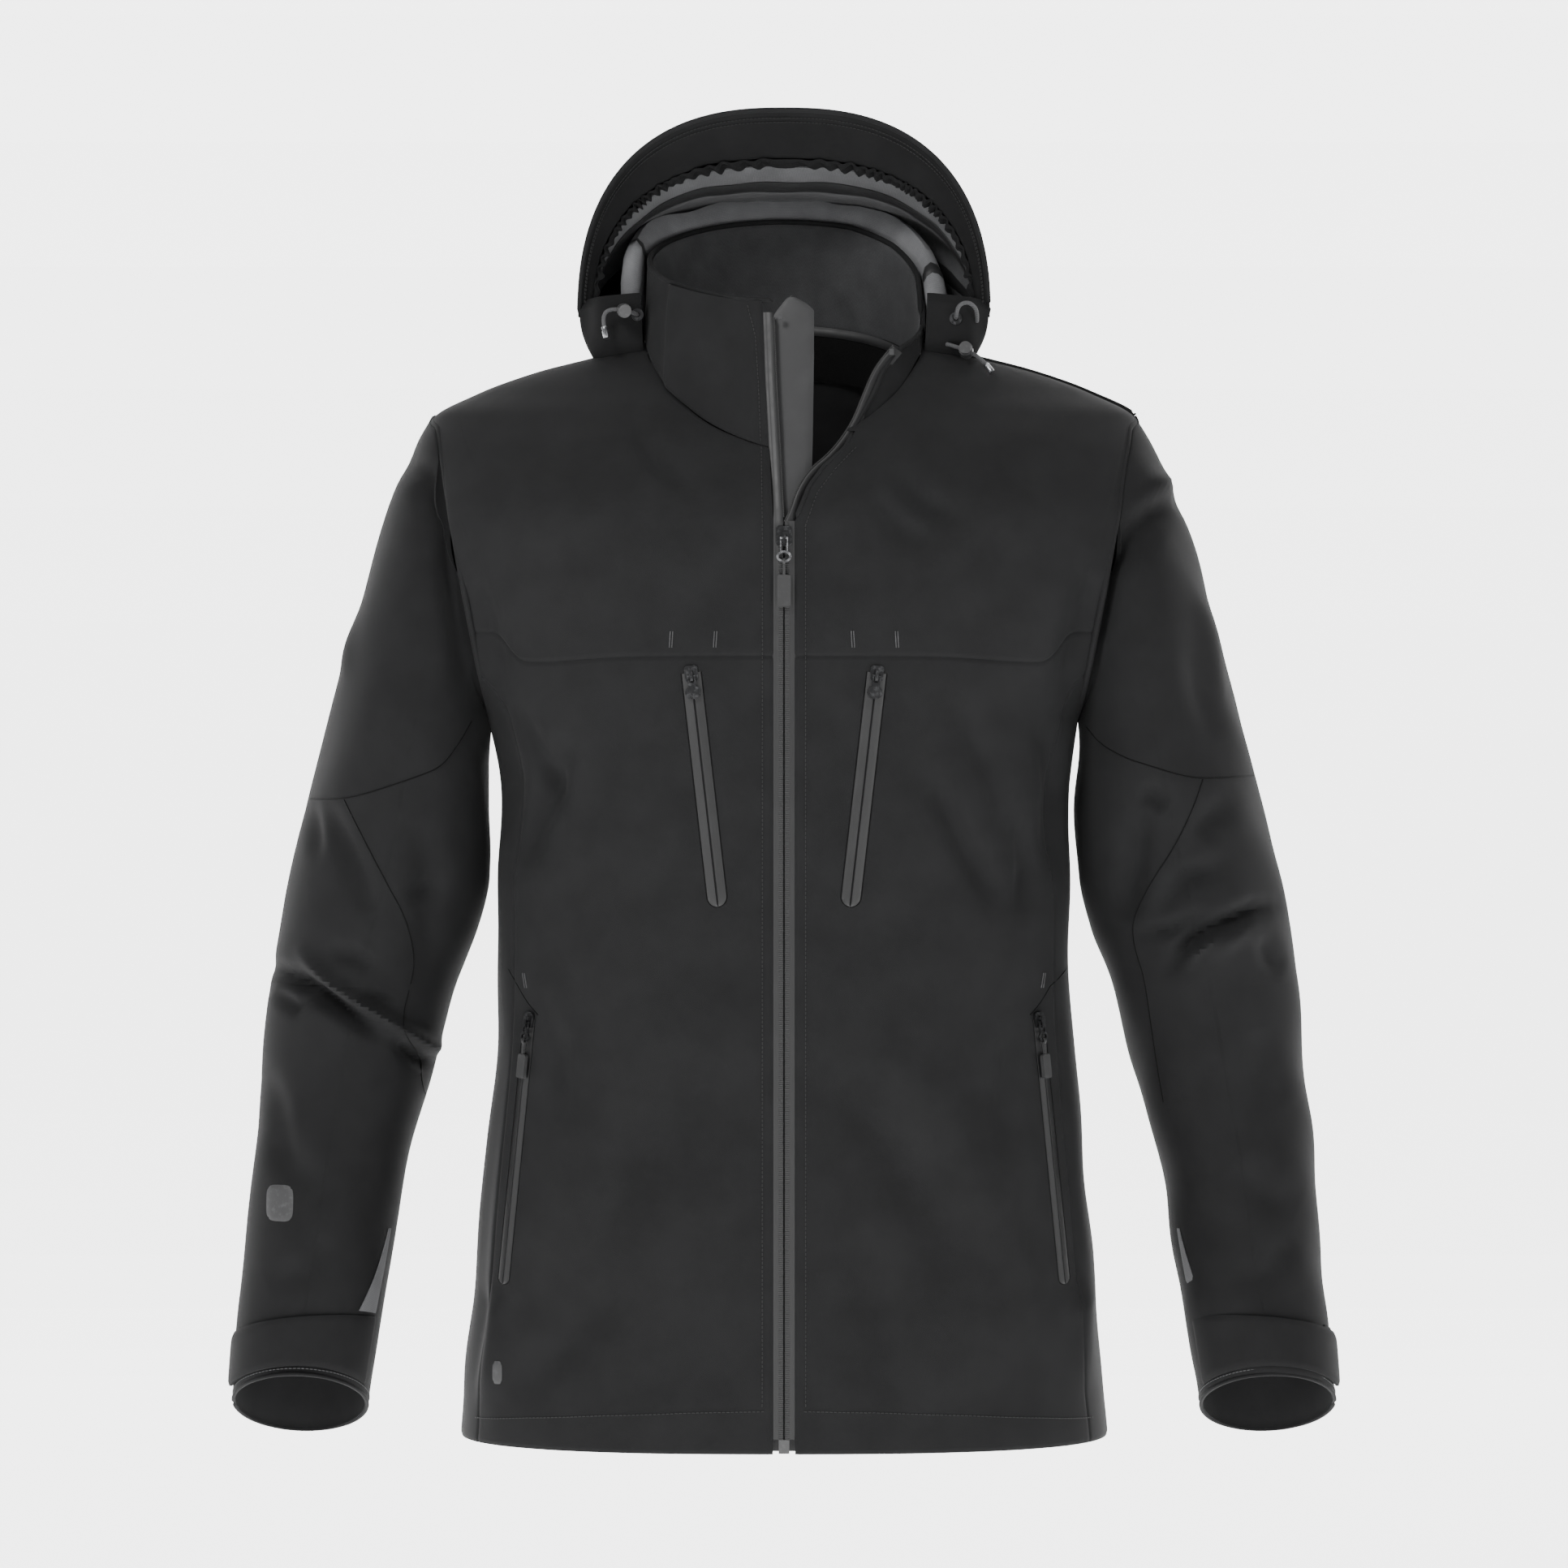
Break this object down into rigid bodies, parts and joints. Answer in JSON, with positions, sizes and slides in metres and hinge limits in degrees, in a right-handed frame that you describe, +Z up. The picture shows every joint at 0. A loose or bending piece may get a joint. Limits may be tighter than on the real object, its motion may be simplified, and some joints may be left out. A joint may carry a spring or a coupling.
{
  "type": "hooded shell jacket",
  "caption": "Waterproof hooded shell jacket in its worn shape, with an open high collar, zipped front and pockets, articulated sleeves, cuff straps and a cord-adjusted hood.",
  "frame": {"origin": "underside of the back neck loop, where a hook carries the jacket", "axes": "+Z up, the front faces -Y, +X towards the wearer's left sleeve"},
  "size_m": [0.7478, 0.2729, 0.8984],
  "materials": {
    "shell_fabric": "smooth tight woven laminate",
    "grey_lining": "soft grey membrane side of the laminate",
    "collar_lining": "brushed",
    "elastic": "gathered elastic",
    "coated_tape": "polyurethane coated tape",
    "loop_pile": "looped pile",
    "pocket_mesh": "thin mesh",
    "webbing": "narrow woven webbing",
    "dark_metal": "dark plated die casting",
    "bright_metal": "satin",
    "tab_rubber": "matt moulded rubber",
    "cord": "braided elastic cord",
    "moulding": "satin moulding"
  },
  "bodies": {
    "torso": {"back_body": "shell_fabric", "back_yoke": "shell_fabric", "chest_zip_tapes": "coated_tape", "collar_back": "shell_fabric", "collar_front_left": "shell_fabric", "collar_front_right": "shell_fabric", "collar_lining": "collar_lining", "cord_lock_left": "moulding", "cord_lock_right": "moulding", "front_body_left": "shell_fabric", "front_body_right": "shell_fabric", "front_yoke_left": "shell_fabric", "front_yoke_right": "shell_fabric", "hand_zip_tapes": "coated_tape", "hanger_loop": "webbing", "hood_cheeks": "shell_fabric", "hood_cord_arc": "cord", "hood_cord_ends": "bright_metal", "hood_cord_left": "cord", "hood_cord_right": "cord", "hood_eyelets": "bright_metal", "hood_neck_panel": "grey_lining", "main_zip_ends": "moulding", "main_zip_left": "coated_tape", "main_zip_right": "coated_tape", "pocket_bags": "pocket_mesh", "side_panel_left": "shell_fabric", "side_panel_right": "shell_fabric", "storm_flap": "coated_tape"},
    "hood": {"hood_shell": "shell_fabric", "hood_brim": "shell_fabric", "hood_edge_elastic": "elastic", "hood_lining": "grey_lining"},
    "main_slider": {"main_slider": "dark_metal"},
    "main_puller": {"main_puller": "dark_metal"},
    "main_tab": {"main_tab": "tab_rubber"},
    "sleeve_left": {"sleeve_upper_outer_left": "shell_fabric", "sleeve_upper_under_left": "shell_fabric"},
    "forearm_left": {"forearm_left": "shell_fabric", "cuff_gusset_left": "coated_tape", "cuff_loop_patch_left": "loop_pile"},
    "cuff_strap_left": {"cuff_strap_left": "shell_fabric"},
    "chest_slider_left": {"chest_slider_left": "dark_metal"},
    "chest_puller_left": {"chest_puller_left": "dark_metal"},
    "hand_slider_left": {"hand_slider_left": "dark_metal"},
    "hand_puller_left": {"hand_puller_left": "dark_metal"},
    "hand_tab_left": {"hand_tab_left": "tab_rubber"},
    "cord_button_left": {"cord_button_left": "moulding"},
    "sleeve_right": {"sleeve_upper_outer_right": "shell_fabric", "sleeve_upper_under_right": "shell_fabric"},
    "forearm_right": {"forearm_right": "shell_fabric", "cuff_gusset_right": "coated_tape", "cuff_loop_patch_right": "loop_pile"},
    "cuff_strap_right": {"cuff_strap_right": "shell_fabric"},
    "chest_slider_right": {"chest_slider_right": "dark_metal"},
    "chest_puller_right": {"chest_puller_right": "dark_metal"},
    "hand_slider_right": {"hand_slider_right": "dark_metal"},
    "hand_puller_right": {"hand_puller_right": "dark_metal"},
    "hand_tab_right": {"hand_tab_right": "tab_rubber"},
    "cord_button_right": {"cord_button_right": "moulding"}
  },
  "joints": [
    {"name": "hood_tilt", "type": "hinge", "parent": "torso", "child": "hood", "pos_m": [0, -0.07, 0.005], "axis": [1, 0, 0], "range_deg": [0, 12]},
    {"name": "main_zip_travel", "type": "slide", "parent": "torso", "child": "main_slider", "axis": [0, 0.036, 0.9994], "range_m": [-0.583, 0]},
    {"name": "main_pull_turn", "type": "hinge", "parent": "main_slider", "child": "main_puller", "pos_m": [0, -0.18651, -0.1444], "axis": [-1, 0, 0], "range_deg": [0, 120]},
    {"name": "main_tab_turn", "type": "hinge", "parent": "main_puller", "child": "main_tab", "pos_m": [0, -0.18707, -0.15974], "axis": [-1, 0, 0], "range_deg": [0, 60]},
    {"name": "shoulder_swing_left", "type": "hinge", "parent": "torso", "child": "sleeve_left", "pos_m": [0.2366, -0.072, -0.058], "axis": [0, -1, 0], "range_deg": [0, 45]},
    {"name": "elbow_bend_left", "type": "hinge", "parent": "sleeve_left", "child": "forearm_left", "pos_m": [0.286, -0.129, -0.4415], "axis": [-1, 0, 0], "range_deg": [0, 75]},
    {"name": "cuff_strap_open_left", "type": "hinge", "parent": "forearm_left", "child": "cuff_strap_left", "pos_m": [0.27929, -0.11444, -0.71], "axis": [0.153, -0.1151, -0.9815], "range_deg": [0, 100]},
    {"name": "chest_zip_travel_left", "type": "slide", "parent": "torso", "child": "chest_slider_left", "axis": [0.1148, 0.0401, 0.9926], "range_m": [-0.1381, 0]},
    {"name": "chest_pull_turn_left", "type": "hinge", "parent": "chest_slider_left", "child": "chest_puller_left", "pos_m": [0.06095, -0.18834, -0.23491], "axis": [-0.9902, -0.075, 0.1175], "range_deg": [0, 165]},
    {"name": "hand_zip_travel_left", "type": "slide", "parent": "torso", "child": "hand_slider_left", "axis": [-0.0984, -0.0099, 0.9951], "range_m": [-0.1628, 0]},
    {"name": "hand_pull_turn_left", "type": "hinge", "parent": "hand_slider_left", "child": "hand_puller_left", "pos_m": [0.17091, -0.15291, -0.46384], "axis": [-0.6616, -0.7463, -0.0728], "range_deg": [0, 120]},
    {"name": "hand_tab_turn_left", "type": "hinge", "parent": "hand_puller_left", "child": "hand_tab_left", "pos_m": [0.17212, -0.15279, -0.47613], "axis": [-0.6616, -0.7463, -0.0728], "range_deg": [0, 60]},
    {"name": "cord_button_press_left", "type": "slide", "parent": "torso", "child": "cord_button_left", "axis": [0.0891, 0.9843, -0.1525], "range_m": [0, 0.0023], "stiffness_N_per_m": 500, "springref_m": -0.004},
    {"name": "shoulder_swing_right", "type": "hinge", "parent": "torso", "child": "sleeve_right", "pos_m": [-0.2366, -0.072, -0.058], "axis": [0, 1, 0], "range_deg": [0, 45]},
    {"name": "elbow_bend_right", "type": "hinge", "parent": "sleeve_right", "child": "forearm_right", "pos_m": [-0.286, -0.129, -0.4415], "axis": [-1, 0, 0], "range_deg": [0, 75]},
    {"name": "cuff_strap_open_right", "type": "hinge", "parent": "forearm_right", "child": "cuff_strap_right", "pos_m": [-0.27929, -0.11444, -0.71], "axis": [0.153, 0.1151, 0.9815], "range_deg": [0, 100]},
    {"name": "chest_zip_travel_right", "type": "slide", "parent": "torso", "child": "chest_slider_right", "axis": [-0.1148, 0.0401, 0.9926], "range_m": [-0.1381, 0]},
    {"name": "chest_pull_turn_right", "type": "hinge", "parent": "chest_slider_right", "child": "chest_puller_right", "pos_m": [-0.06095, -0.18834, -0.23491], "axis": [-0.9902, 0.075, -0.1175], "range_deg": [0, 165]},
    {"name": "hand_zip_travel_right", "type": "slide", "parent": "torso", "child": "hand_slider_right", "axis": [0.0984, -0.0099, 0.9951], "range_m": [-0.1628, 0]},
    {"name": "hand_pull_turn_right", "type": "hinge", "parent": "hand_slider_right", "child": "hand_puller_right", "pos_m": [-0.17091, -0.15291, -0.46384], "axis": [-0.6616, 0.7463, 0.0728], "range_deg": [0, 120]},
    {"name": "hand_tab_turn_right", "type": "hinge", "parent": "hand_puller_right", "child": "hand_tab_right", "pos_m": [-0.17212, -0.15279, -0.47613], "axis": [-0.6616, 0.7463, 0.0728], "range_deg": [0, 60]},
    {"name": "cord_button_press_right", "type": "slide", "parent": "torso", "child": "cord_button_right", "axis": [-0.0976, 0.9881, 0.1185], "range_m": [0, 0.0023], "stiffness_N_per_m": 500, "springref_m": -0.004}
  ]
}
